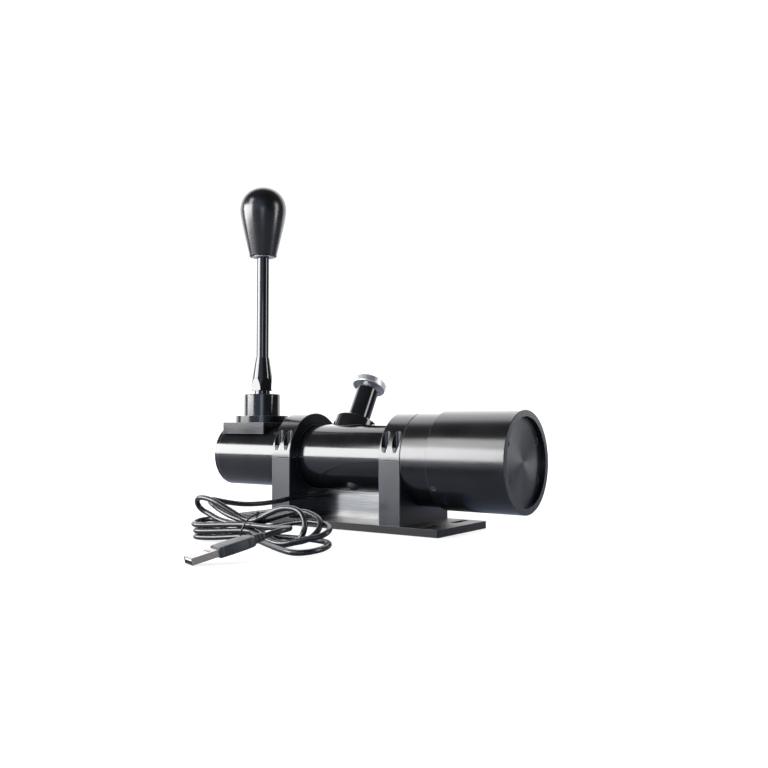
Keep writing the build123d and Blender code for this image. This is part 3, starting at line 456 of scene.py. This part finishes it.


def anodised(
    name,
    dark=0.003,
    axis=None,
    rings=0.25 * mm,
    roughness=(0.10, 0.18),
    edge=0.30,
    depth=0.0008,
    stroke=(60.0, 900.0, 900.0),
    tint=1.15,
    specular=0.5,
):
    """Glossy black anodising over turned or milled aluminium: tool marks, faint clouding, and pale edges,
    partly wear and partly a painted highlight.
    """
    f = Finish(name, 0.2)
    cloud = f.noise(f.where, 38.0, 4.0, 0.6)
    speck = f.noise(f.where, 900.0, 3.0, 0.6)
    deep, pale = (dark, dark, tint * dark), (2.2 * dark, 2.3 * dark, 2.3 * tint * dark)
    colour = f.ramp(cloud, [(0.3, deep), (0.7, pale)])
    if axis is None:
        strokes = f.add("ShaderNodeMapping", [("Vector", f.where), ("Scale", stroke)])
        marks = f.noise(strokes, 1.0, 3.0, 0.7)
    else:
        marks = f.noise(f.ring_space(axis, 1 / rings), 1.0, 2.0, 0.6)
    # pale edges: bare aluminium from wear, and a painted highlight along the edges
    if edge > 0:
        patches = f.ramp(f.noise(f.where, 260.0, 3.0, 0.6), [(0.30, 0.5), (0.62, 1.0)])
        wear_and_glint = f.math("MULTIPLY", f.edges(EDGE_WIDTH), patches)
        colour = f.mix(f.math("MULTIPLY", wear_and_glint, edge), colour, WORN_AND_GLINT)
    f.socket("Base Color", colour)
    f.socket("Specular IOR Level", specular)
    uneven = f.math("ADD", f.math("MULTIPLY", cloud, 0.6), f.math("MULTIPLY", marks, 0.4))
    f.socket("Roughness", f.ramp(uneven, [(0.3, roughness[0]), (0.7, roughness[1])]))
    f.bump(marks, depth * mm, 0.5)
    f.bump(speck, depth * mm, 0.4)
    return f.done()


def turned_face(name, origin, direction):
    """Black anodising over a faced-off disc: fine rings, whose gloss fans out from its centre."""
    f = Finish(name, 0.3)
    along, radius = f.lathe(origin, direction)
    outwards = f.add("ShaderNodeCombineXYZ", [(0, f.math("MULTIPLY", radius, 4200.0)), (1, along)])
    rings = f.noise(outwards, 1.0, 3.0, 0.6)
    cloud = f.noise(f.where, 45.0, 4.0, 0.6)
    base = f.mix(f.ramp(cloud, [(0.3, 0.0), (0.7, 1.0)]), (0.004, 0.004, 0.0046), (0.0088, 0.0088, 0.01))
    # paler edges: wear, and a painted highlight along the edges
    edge_wear_and_glint = f.math("MULTIPLY", f.edges(EDGE_WIDTH), 0.35)
    f.socket("Base Color", f.mix(edge_wear_and_glint, base, (0.5, 0.52, 0.55)))
    f.socket("Roughness", f.ramp(rings, [(0.3, 0.26), (0.7, 0.34)]))
    f.socket("Anisotropic", 0.85)
    f.socket("Tangent", f.add("ShaderNodeTangent", direction_type="RADIAL", axis="X"))
    f.bump(rings, 0.0008 * mm, 0.5)
    return f.done()


TURNED_LINES = 3500.0  # lathe rings per metre on bare metal
# painted shade for faces that look up: a near-black colour and a dull roughness
SHADED_TOP, SHADED_TOP_ROUGHNESS = (0.015, 0.015, 0.017), (0.7, 0.7, 0.7)


def bare_metal(
    name,
    colour=(0.72, 0.72, 0.73),
    axis=None,
    stretch=(14.0, 1600.0, 1600.0),
    roughness=(0.18, 0.34),
    depth=0.003,
    anisotropy=0.4,
    dulled=0.78,
    painted_shade_on_top=False,
):
    """Brushed or turned bare metal: hairlines or lathe rings in tint, gloss and relief.

    With painted_shade_on_top, the faces that look up get painted shade: dull and near black.
    """
    f = Finish(name, 0.25, metallic=1.0)
    if axis is None:
        lines = f.add("ShaderNodeMapping", [("Vector", f.where), ("Scale", stretch)])
        marks = f.noise(lines, 1.0, 4.0, 0.7)
    else:
        marks = f.noise(f.ring_space(axis, TURNED_LINES), 1.0, 3.0, 0.6)
    cloud = f.noise(f.where, 30.0, 3.0, 0.6)
    dull, stained = (tuple(share * c for c in colour) for share in (dulled, 0.6))
    tint = f.mix(f.ramp(marks, [(0.32, 0.0), (0.68, 1.0)]), dull, colour)
    tint = f.mix(f.ramp(cloud, [(0.35, 0.0), (0.75, 0.25)]), tint, stained)
    gloss = f.ramp(marks, [(0.3, roughness[0]), (0.7, roughness[1])])
    # painted shade: faces that look up are mixed to near black
    if painted_shade_on_top:
        facing = f.tree.nodes.new("ShaderNodeNewGeometry").outputs["True Normal"]
        facing_up = f.add("ShaderNodeSeparateXYZ", [(0, facing)]).node.outputs[2]
        painted_shade_mask = f.ramp(facing_up, [(0.90, 0.0), (0.97, 1.0)])
        tint = f.mix(painted_shade_mask, tint, SHADED_TOP)
        gloss = f.mix(painted_shade_mask, gloss, SHADED_TOP_ROUGHNESS)
    f.socket("Base Color", tint)
    f.socket("Roughness", gloss)
    f.socket("Anisotropic", anisotropy)
    f.bump(marks, depth * mm, 0.6)
    return f.done()


def moulded(name, colour, roughness=(0.35, 0.5), grain=1800.0, depth=0.01):
    """Moulded plastic or rubber: fine grain, slight mottling and handling marks."""
    f = Finish(name, 0.4)
    fine = f.noise(f.where, grain, 3.0, 0.6)
    cloud = f.noise(f.where, 60.0, 4.0, 0.6)
    pale = tuple(1.35 * c + 0.002 for c in colour)
    f.socket("Base Color", f.mix(f.ramp(cloud, [(0.35, 0.0), (0.7, 1.0)]), colour, pale))
    f.socket("Roughness", f.ramp(cloud, [(0.3, roughness[0]), (0.7, roughness[1])]))
    f.bump(fine, depth * mm, 0.5)
    return f.done()


FLUTE_PITCH = 0.9 * mm


def knurled(name):
    """Black oxide steel screw heads, straight-knurled, whose flutes carry painted highlights as pale stripes
    over their relief.
    """
    f = Finish(name, 0.22)
    across = f.add("ShaderNodeSeparateXYZ", [(0, f.where)]).node.outputs[0]
    flutes = f.math("SINE", f.math("MULTIPLY", across, tau / FLUTE_PITCH))
    flute_and_glint = f.ramp(f.math("ADD", f.math("MULTIPLY", flutes, 0.5), 0.5), [(0.25, 0.0), (0.6, 1.0)])
    fine = f.noise(f.where, 1500.0, 3.0, 0.6)
    # pale stripes on the flutes: a painted highlight mixed into the colour, while the same mask drives the
    # real relief
    pale = f.math("MULTIPLY", flute_and_glint, f.ramp(fine, [(0.3, 0.3), (0.7, 0.6)]))
    f.socket("Base Color", f.mix(pale, (0.006, 0.006, 0.007), (0.16, 0.16, 0.17)))
    f.socket("Roughness", f.ramp(fine, [(0.3, 0.18), (0.7, 0.30)]))
    f.bump(flute_and_glint, 0.08 * mm, 0.6)
    return f.done()


def board(name):
    """Green solder mask with paler tracks under it."""
    f = Finish(name, 0.35)
    links = [("Vector", f.where), ("Scale", 260.0)]
    tracks = f.add("ShaderNodeTexVoronoi", links, distance="MANHATTAN", feature="DISTANCE_TO_EDGE")
    lines = f.ramp(tracks, [(0.05, 1.0), (0.09, 0.0)])
    f.socket("Base Color", f.mix(lines, (0.012, 0.10, 0.04), (0.03, 0.22, 0.09)))
    f.bump(lines, 0.02 * mm, 0.5)
    return f.done()


# ---------------------------------------------------------------- finishes, piece by piece
HAIRLINES = (10.0, 1400.0, 1400.0)  # brushed along the tube
own_pieces = {piece.name: piece for piece in (usb_lead, tie_wire, plug_overmold, pull_knob)}
finishes = {
    anodised("turned_tube", axis=TUBE_AXIS): ["body_tube", "end_cap"],
    anodised("turned_drum", axis=TUBE_AXIS, roughness=(0.17, 0.24)): ["drum_shell", "drum_adapter"],
    turned_face("turned_cover", *TUBE_AXIS): ["drum_cover"],
    anodised("turned_turret", axis=LEVER_AXIS, roughness=(0.13, 0.20)): ["turret"],
    anodised("turned_plunger", axis=PLUNGER_AXIS, roughness=(0.08, 0.14)): ["plunger_boss", "plunger_barrel"],
    anodised("milled_clamp", roughness=(0.14, 0.22), edge=0.45): ["clamp_upper_left", "clamp_upper_right"],
    anodised("milled_saddle", roughness=(0.10, 0.16), edge=0.40): ["saddle_plate"],
    anodised(
        "milled_foot", dark=0.006, roughness=(0.24, 0.50), edge=0.55, stroke=(700.0, 700.0, 45.0),
        tint=1.5, specular=0.38,
    ): ["clamp_lower_left", "clamp_lower_right"],
    anodised("milled_plate", roughness=(0.48, 0.60), specular=0.3): ["base_plate"],
    anodised("black_oxide", dark=0.006, roughness=(0.16, 0.3), edge=0.5): [
        "foot_screws", "turret_screws", "cover_screws", "drum_set_screws", "lid_screws",
        "board_screws", "sleeve_clips",
    ],
    anodised("domed_head", dark=0.02, roughness=(0.14, 0.24), edge=0.0): ["guide_screw"],
    anodised(
        "black_nickel", axis=LEVER_AXIS, rings=8.0 * mm, roughness=(0.07, 0.10), edge=0.0, depth=0.00004,
    ): ["lever_rod", "hex_adapter", "lever_stud"],
    knurled("knurled_heads"): ["clamp_screws"],
    # the housing's faces that look up carry painted shade
    bare_metal(
        "brushed_aluminium", colour=(0.58, 0.58, 0.57), stretch=HAIRLINES, roughness=(0.12, 0.18),
        depth=0.0012, anisotropy=0.0, dulled=0.45, painted_shade_on_top=True,
    ): ["sensor_housing"],
    # the lid is the housing's aluminium, rougher, and darker in colour as painted shade
    bare_metal(
        "dull_shaded_aluminium", colour=(0.30, 0.30, 0.31), stretch=HAIRLINES, roughness=(0.28, 0.40),
        depth=0.0012, anisotropy=0.0,
    ): ["housing_lid"],
    bare_metal("turned_aluminium", colour=(0.68, 0.68, 0.69), axis=TUBE_AXIS): [
        "gate_housing", "guide_sleeve", "selector_fork", "gate_finger", "cradle_ring",
    ],
    bare_metal("turned_steel", axis=LEVER_AXIS): ["knob_ferrule", "cradle_pins", "lever_pin"],
    bare_metal("turned_pin", axis=PLUNGER_AXIS): ["plunger_pin"],
    bare_metal(
        "pull_steel", colour=(0.56, 0.56, 0.57), axis=PLUNGER_AXIS, roughness=(0.34, 0.44), depth=0.001,
    ): ["pull_knob"],
    bare_metal("ground_rod", axis=TUBE_AXIS): ["selector_rod", "roll_pins"],
    bare_metal("spring_wire", colour=(0.45, 0.45, 0.46), stretch=(900.0, 900.0, 60.0)): [
        "centring_spring", "plunger_spring",
    ],
    bare_metal("sintered_bronze", colour=(0.55, 0.40, 0.22), axis=TUBE_AXIS, roughness=(0.35, 0.5)): [
        "left_bush", "right_bush",
    ],
    bare_metal("nickel_plate", colour=(0.75, 0.75, 0.76), roughness=(0.08, 0.16)): [
        "sleeve_magnet", "angle_magnet",
    ],
    bare_metal(
        "pressed_nickel", colour=(0.36, 0.33, 0.315), stretch=(300.0, 300.0, 1500.0), roughness=(0.34, 0.46),
    ): ["usb_plug_shell"],
    moulded("satin_knob", (0.003, 0.003, 0.0033), roughness=(0.20, 0.25), depth=0.0006): ["knob"],
    moulded("gland_rubber", (0.010, 0.010, 0.011)): ["cable_gland"],
    moulded("plug_rubber", (0.016, 0.019, 0.021), roughness=(0.42, 0.55), grain=2600.0, depth=0.005): [
        "plug_overmold",
    ],
    moulded("white_plastic", (0.45, 0.45, 0.44)): ["usb_plug_tongue"],
    moulded("pvc", (0.006, 0.006, 0.007), roughness=(0.25, 0.32), grain=900.0, depth=0.0003): [
        "usb_lead", "tie_wire",
    ],
    board("solder_mask"): ["circuit_board", "angle_sensor_board"],
}
for material, names in finishes.items():
    for name in names:
        if name in own_pieces:
            own_pieces[name].data.materials.append(material)
        else:
            for material_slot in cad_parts[name].material_slots:
                material_slot.material = material

# ---------------------------------------------------------------- floor and light
FLOOR_HALF, FLOOR_DROP = 8.0, 0.3 * mm  # half its side, and how far it lies under the plate
FLOOR_NEAR, FLOOR_FAR = 0.80, 1.0  # the paper's own glow to the camera, near the object and far off
GLOW_NEAR_R, GLOW_FAR_R = 0.30, 0.75  # and the distances where it starts and ends rising
FLOOR_MIRRORED = (0.03, 0.07, 0.16)  # its glow for every other ray: dimmer and cooler in reflections
floor_finish = Finish("floor_paper", 0.9)
floor_grain = floor_finish.noise(floor_finish.where, 25.0, 3.0)
floor_finish.socket("Base Color", floor_finish.ramp(floor_grain, [(0.3, 0.23), (0.7, 0.27)]))
seen = floor_finish.tree.nodes.new("ShaderNodeLightPath").outputs["Is Camera Ray"]
floor_finish.socket("Emission Color", floor_finish.mix(seen, FLOOR_MIRRORED, (1.0, 1.0, 1.0)))
from_middle = floor_finish.add("ShaderNodeVectorMath", [(0, floor_finish.where)], operation="LENGTH")
seen_glow = floor_finish.ramp(
    from_middle.node.outputs["Value"], [(GLOW_NEAR_R, FLOOR_NEAR), (GLOW_FAR_R, FLOOR_FAR)]
)
floor_finish.socket("Emission Strength", floor_finish.mix(seen, (1.0, 1.0, 1.0), seen_glow))
floor_mesh = bpy.data.meshes.new("floor")
floor_bm = bmesh.new()
bmesh.ops.create_grid(floor_bm, x_segments=8, y_segments=8, size=FLOOR_HALF)
floor_bm.to_mesh(floor_mesh)
floor_bm.free()
floor = bpy.data.objects.new("floor", floor_mesh)
floor.location.z = -FLOOR_DROP
floor_mesh.materials.append(floor_finish.done())
scene.collection.objects.link(floor)

ROOM_DARK, ROOM_COOL, ROOM_WHITE = (0.10, 0.10, 0.11), (0.70, 0.85, 1.10), (3.0, 3.0, 3.05)
BACKDROP = (1.2, 1.2, 1.2)  # what the camera itself sees of the room
# The room's cool and white parts: the middle's direction, and the cosines where it begins and is full.
WORLD_FRONT = ((0.1, -1.0, -0.05), 0.55, 0.95)
WORLD_BACK = ((-0.6, 0.8, 0.1), 0.40, 0.58)


def studio_world():
    """A room that is white behind the object, dark to its sides and cool in front, and a plain backdrop."""
    world = bpy.data.worlds.new("studio")
    world.use_nodes = True
    tree = world.node_tree
    nodes, links = tree.nodes, tree.links
    towards = nodes.new("ShaderNodeTexCoord").outputs["Generated"]

    def facing(direction, low, high):
        dot = nodes.new("ShaderNodeVectorMath")
        dot.operation = "DOT_PRODUCT"
        links.new(towards, dot.inputs[0])
        dot.inputs[1].default_value = Vector(direction).normalized()
        share = nodes.new("ShaderNodeMapRange")
        share.interpolation_type = "SMOOTHSTEP"
        share.inputs["From Min"].default_value = low
        share.inputs["From Max"].default_value = high
        links.new(dot.outputs["Value"], share.inputs["Value"])
        return share.outputs["Result"]

    def blended(share, first, second):
        mix = nodes.new("ShaderNodeMix")
        mix.data_type = "RGBA"
        links.new(share, mix.inputs[0])
        for socket, value in ((6, first), (7, second)):
            if isinstance(value, bpy.types.NodeSocket):
                links.new(value, mix.inputs[socket])
            else:
                mix.inputs[socket].default_value = (*value, 1.0)
        return mix.outputs[2]

    room = blended(facing(*WORLD_FRONT), ROOM_DARK, ROOM_COOL)
    room = blended(facing(*WORLD_BACK), room, ROOM_WHITE)
    camera_ray = nodes.new("ShaderNodeLightPath").outputs["Is Camera Ray"]
    links.new(blended(camera_ray, room, BACKDROP), nodes["Background"].inputs["Color"])
    return world


scene.world = studio_world()


OBJECT_MIDDLE = Vector((0.0, 0.0, 0.1))


def softbox(name, direction, distance, width, height, radiance, colour=(1.0, 1.0, 1.0)):
    """A rectangular light that faces the object's middle from this direction."""
    light = bpy.data.lights.new(name, "AREA")
    light.shape = "RECTANGLE"
    light.size, light.size_y = width, height
    light.energy = radiance * pi * width * height
    light.color = colour
    lamp = bpy.data.objects.new(name, light)
    away = Vector(direction).normalized()
    turn = away.to_track_quat("Z", "Y").to_matrix().to_4x4()
    lamp.matrix_world = Matrix.Translation(OBJECT_MIDDLE + distance * away) @ turn
    scene.collection.objects.link(lamp)


softbox("key", (-0.653, -0.725, 0.217), 1.7, 1.42, 0.75, 19.0)
softbox("upper", (-0.4145, -0.718, 0.559), 1.8, 0.50, 0.66, 10.0)
softbox("rim", (0.94, 0.32, 0.22), 1.9, 0.45, 1.2, 9.0)
softbox("fill", (0.55, -0.83, 0.05), 1.7, 0.5, 0.5, 3.0, (0.75, 0.85, 1.0))

bpy.context.view_layer.update()
